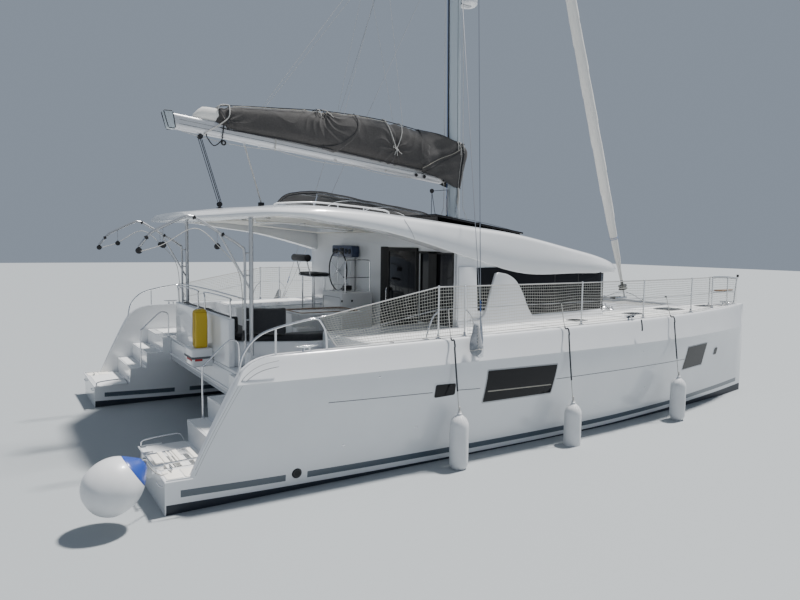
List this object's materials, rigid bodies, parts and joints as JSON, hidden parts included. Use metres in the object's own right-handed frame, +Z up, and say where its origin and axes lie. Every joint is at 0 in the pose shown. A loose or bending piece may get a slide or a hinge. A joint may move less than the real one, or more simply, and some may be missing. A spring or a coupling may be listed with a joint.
{
  "type": "sailing catamaran",
  "caption": "Cruising sailing catamaran with two hulls, a bridgedeck saloon and cockpit under a rigid top, a mast, a boom, a furled headsail and twin rudders",
  "frame": {"origin": "on the waterline, on the centreline, midway between the sterns and the bows", "axes": "+X towards the bows, +Y to port, +Z up"},
  "size_m": [13.7011, 8.0601, 21.89],
  "materials": {
    "gelcoat": "gloss gelcoat",
    "nonskid": "non-slip gelcoat",
    "steel": "polished stainless",
    "alloy": "anodised",
    "tinted_glass": "tinted",
    "dark_cloth": "woven acrylic",
    "sailcloth": "laid sailcloth",
    "netting": "knotted net",
    "wire": "stranded wire",
    "upholstery": "woven",
    "wood": "satin varnish",
    "black_plastic": "satin",
    "bronze": "cast",
    "engine_paint": "satin",
    "fender_vinyl": "soft vinyl",
    "yellow_case": "satin"
  },
  "bodies": {
    "boat": {"hull_starboard": "gelcoat", "hull_port": "gelcoat", "deck_starboard": "gelcoat", "deck_port": "gelcoat", "keel_starboard": "gelcoat", "keel_port": "gelcoat", "saildrive_starboard": "alloy", "saildrive_port": "alloy", "engine_starboard": "engine_paint", "engine_port": "engine_paint", "cabin_side_starboard": "gelcoat", "cabin_side_port": "gelcoat", "side_glass_starboard": "tinted_glass", "side_glass_port": "tinted_glass", "davit_starboard": "steel", "davit_port": "steel", "shrouds_starboard": "wire", "shrouds_port": "wire", "trampoline_starboard": "netting", "trampoline_port": "netting", "guard_rails_starboard": "steel", "guard_rails_port": "steel", "bridgedeck": "gelcoat", "hardtop": "gelcoat", "cabin_front": "gelcoat", "front_glass": "tinted_glass", "aft_bulkhead": "gelcoat", "bulkhead_pane": "tinted_glass", "saloon_sofa": "upholstery", "saloon_table": "wood", "galley": "wood", "cockpit_bench": "gelcoat", "bench_cushion": "dark_cloth", "cockpit_table": "gelcoat", "helm_station": "gelcoat", "helm_canopy": "dark_cloth", "canopy_frame": "steel", "mast": "alloy", "roof_panel": "black_plastic", "crossbeam": "alloy", "fender_1": "fender_vinyl", "fender_2": "fender_vinyl", "fender_3": "fender_vinyl", "ball_fender": "fender_vinyl", "liferaft": "gelcoat", "lifebuoy_bag": "yellow_case"},
    "rudder_starboard": {"rudder_starboard": "gelcoat"},
    "rudder_port": {"rudder_port": "gelcoat"},
    "propeller_starboard": {"propeller_starboard": "bronze"},
    "propeller_port": {"propeller_port": "bronze"},
    "wheel": {"helm_wheel": "black_plastic"},
    "boom": {"boom": "alloy", "sail_bag": "dark_cloth"},
    "jib": {"furled_jib": "sailcloth"},
    "door": {"saloon_door": "tinted_glass"},
    "engine_lid_starboard": {"engine_lid_starboard": "nonskid"},
    "engine_lid_port": {"engine_lid_port": "nonskid"},
    "locker_lid_starboard": {"locker_lid_starboard": "nonskid"},
    "locker_lid_port": {"locker_lid_port": "nonskid"},
    "ladder": {"swim_ladder": "steel"}
  },
  "joints": [
    {"name": "rudder_starboard_turn", "type": "hinge", "parent": "boat", "child": "rudder_starboard", "pos_m": [-5.62, -2.95, -0.3], "axis": [0, 0, 1], "range_deg": [-35, 35]},
    {"name": "rudder_port_turn", "type": "hinge", "parent": "boat", "child": "rudder_port", "pos_m": [-5.62, 2.95, -0.3], "axis": [0, 0, 1], "range_deg": [-35, 35]},
    {"name": "helm_wheel_turn", "type": "hinge", "parent": "boat", "child": "wheel", "pos_m": [-1.81, 1.04, 2.64], "axis": [1, 0, 0], "range_deg": [-420, 420]},
    {"name": "propeller_starboard_spin", "type": "hinge", "parent": "boat", "child": "propeller_starboard", "pos_m": [-4.86, -2.95, -0.78], "axis": [1, 0, 0], "continuous": true},
    {"name": "propeller_port_spin", "type": "hinge", "parent": "boat", "child": "propeller_port", "pos_m": [-4.86, 2.95, -0.78], "axis": [1, 0, 0], "continuous": true},
    {"name": "boom_swing", "type": "hinge", "parent": "boat", "child": "boom", "pos_m": [0.16, 0, 4.6], "axis": [0, 0, 1], "range_deg": [-50, 50]},
    {"name": "furler_turn", "type": "hinge", "parent": "boat", "child": "jib", "pos_m": [6.01, 0, 1.9], "axis": [-0.3136, 0, 0.9496], "continuous": true},
    {"name": "saloon_door_slide", "type": "slide", "parent": "boat", "child": "door", "axis": [0, 1, 0], "range_m": [0, 0.94]},
    {"name": "engine_lid_starboard_open", "type": "hinge", "parent": "boat", "child": "engine_lid_starboard", "pos_m": [-4.11, -2.875, 1.3], "axis": [0, 1, 0], "range_deg": [0, 80]},
    {"name": "engine_lid_port_open", "type": "hinge", "parent": "boat", "child": "engine_lid_port", "pos_m": [-4.11, 2.875, 1.3], "axis": [0, 1, 0], "range_deg": [0, 80]},
    {"name": "locker_lid_starboard_open", "type": "hinge", "parent": "boat", "child": "locker_lid_starboard", "pos_m": [3.66, -0.73, 1.9431], "axis": [0, 1, 0], "range_deg": [0, 85]},
    {"name": "locker_lid_port_open", "type": "hinge", "parent": "boat", "child": "locker_lid_port", "pos_m": [3.66, 0.73, 1.9431], "axis": [0, 1, 0], "range_deg": [0, 85]},
    {"name": "swim_ladder_fold", "type": "hinge", "parent": "boat", "child": "ladder", "pos_m": [-6.445, -2.98, 0.49], "axis": [0, -1, 0], "range_deg": [0, 255]}
  ],
  "couplings": [
    {"joint": "rudder_port_turn", "follows": "rudder_starboard_turn", "ratio": 1},
    {"joint": "helm_wheel_turn", "follows": "rudder_starboard_turn", "ratio": 12}
  ]
}
